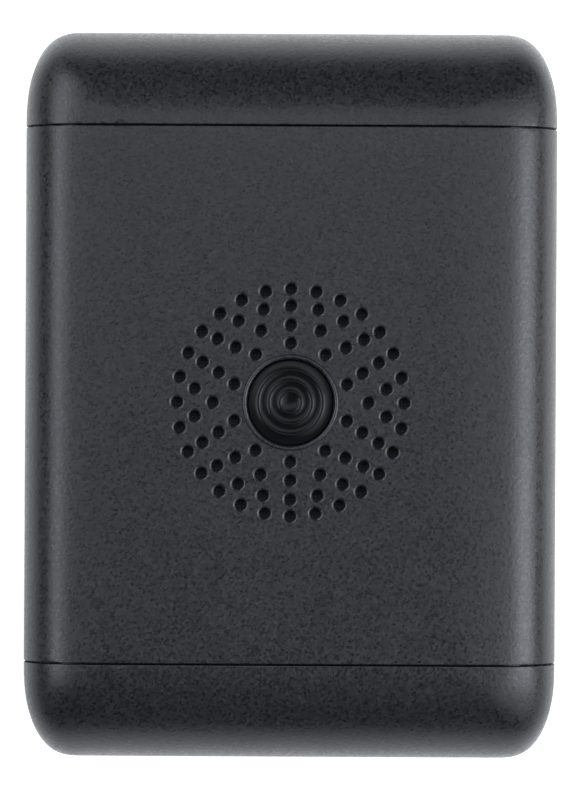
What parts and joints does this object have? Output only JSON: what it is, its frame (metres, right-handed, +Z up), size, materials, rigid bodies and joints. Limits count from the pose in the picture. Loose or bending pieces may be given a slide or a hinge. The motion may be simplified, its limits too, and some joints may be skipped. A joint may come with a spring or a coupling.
{
  "type": "bluetooth audio receiver",
  "caption": "Small free-standing wireless audio receiver: a rounded black box with a round vent grille on top, audio and power jacks behind and a pairing button in front.",
  "frame": {"origin": "under the middle of the case, on the surface that its feet stand on", "axes": "+Z up through the grille, +Y to the end with the jacks, +X to the right seen from the button end"},
  "size_m": [0.0546, 0.075, 0.021],
  "materials": {
    "case_plastic": "fine spark-eroded texture, satin",
    "emblem_gloss": "polished",
    "rubber": "matt",
    "zinc_steel": "bright zinc plated",
    "solder_mask": "green solder mask on glass epoxy",
    "black_moulding": "moulded",
    "nickel": "satin nickel plate",
    "contact_brass": "spring brass",
    "ferrite": "sintered",
    "ceramic": "fired ceramic",
    "capacitor_can": "drawn can",
    "clear_lens": "clear moulded lens",
    "grille_cloth": "fine black woven cloth"
  },
  "bodies": {
    "case": {"audio_codec_chip": "black_moulding", "audio_jack_body": "black_moulding", "audio_jack_bushing": "nickel", "audio_jack_ring_contact": "contact_brass", "audio_jack_sleeve_contact": "contact_brass", "audio_jack_tip_contact": "contact_brass", "bottom_cover": "case_plastic", "capacitor_1": "capacitor_can", "capacitor_2": "capacitor_can", "capacitor_3": "capacitor_can", "capacitor_4": "capacitor_can", "case_screw_1": "zinc_steel", "case_screw_2": "zinc_steel", "case_screw_3": "zinc_steel", "case_screw_4": "zinc_steel", "crystal": "nickel", "emblem": "emblem_gloss", "ferrite_bead": "ferrite", "flash_memory_chip": "black_moulding", "front_end_cap": "case_plastic", "grille_cloth": "grille_cloth", "led_holder": "black_moulding", "led_light_pipe": "clear_lens", "line_driver_chip": "black_moulding", "main_board": "solder_mask", "power_inductor": "ferrite", "power_jack_body": "black_moulding", "power_jack_centre_pin": "nickel", "power_jack_side_contact": "contact_brass", "protection_diode": "black_moulding", "radio_antenna": "ceramic", "radio_module_board": "solder_mask", "radio_shield_can": "nickel", "rear_end_cap": "case_plastic", "rubber_foot_1": "rubber", "rubber_foot_2": "rubber", "rubber_foot_3": "rubber", "rubber_foot_4": "rubber", "status_led": "clear_lens", "switch_body": "black_moulding", "switch_frame": "zinc_steel", "top_cover": "case_plastic", "voltage_regulator": "black_moulding"},
    "pairing_button": {"pairing_button": "case_plastic", "switch_plunger": "black_moulding"}
  },
  "joints": [
    {"name": "pairing_button_press", "type": "slide", "parent": "case", "child": "pairing_button", "axis": [0, 1, 0], "range_m": [0, 0.0005], "stiffness_N_per_m": 900, "springref_m": -0.0006}
  ]
}
